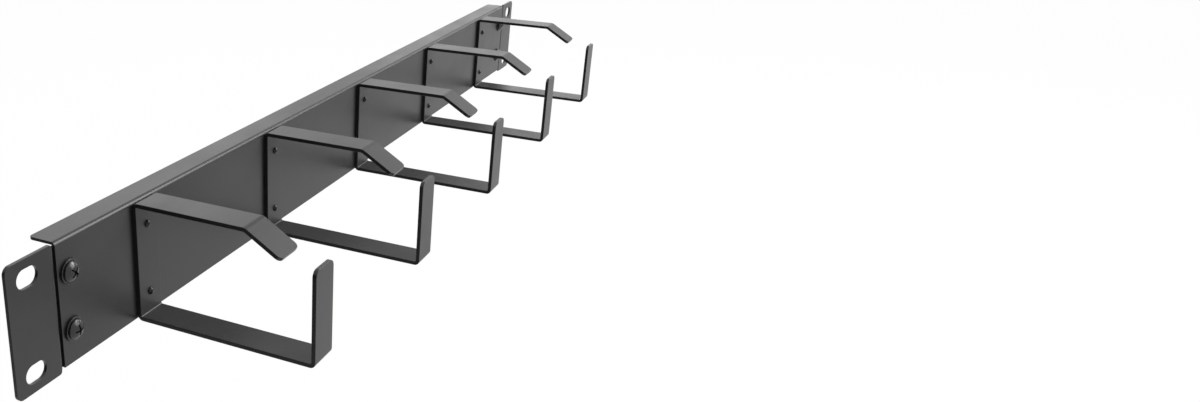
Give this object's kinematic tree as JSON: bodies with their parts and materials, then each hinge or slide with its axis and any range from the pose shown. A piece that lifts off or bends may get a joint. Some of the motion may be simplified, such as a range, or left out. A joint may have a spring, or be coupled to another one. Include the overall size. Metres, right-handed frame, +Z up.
{
  "type": "horizontal cable manager",
  "caption": "Steel rack panel with slotted ears and a row of open D-rings that hold patch cables in a level run.",
  "frame": {"origin": "in the plane where the ears bear on the rack rails, midway between the mounting slots", "axes": "+X along the rack's width to the right as seen from the front, +Y to the rear of the rack, +Z up"},
  "size_m": [0.4826, 0.079, 0.0444],
  "materials": {
    "panel_coat": "black satin powder coat",
    "ear_coat": "black satin powder coat",
    "ring_coat": "black satin powder coat",
    "rivet_coat": "black powder coat over a steel rivet",
    "screw_black": "black zinc plating",
    "nut_zinc": "bright zinc plating"
  },
  "bodies": {
    "root": {"panel": "panel_coat", "left_ear": "ear_coat", "right_ear": "ear_coat", "d_ring_1": "ring_coat", "d_ring_2": "ring_coat", "d_ring_3": "ring_coat", "d_ring_4": "ring_coat", "d_ring_5": "ring_coat", "ring_rivets_1": "rivet_coat", "ring_rivets_2": "rivet_coat", "ring_rivets_3": "rivet_coat", "ring_rivets_4": "rivet_coat", "ring_rivets_5": "rivet_coat", "ear_screw_left_upper": "screw_black", "ear_screw_left_lower": "screw_black", "ear_screw_right_upper": "screw_black", "ear_screw_right_lower": "screw_black", "ear_washers_left": "screw_black", "ear_washers_right": "screw_black", "clinch_nuts_left": "nut_zinc", "clinch_nuts_right": "nut_zinc"}
  },
  "joints": []
}
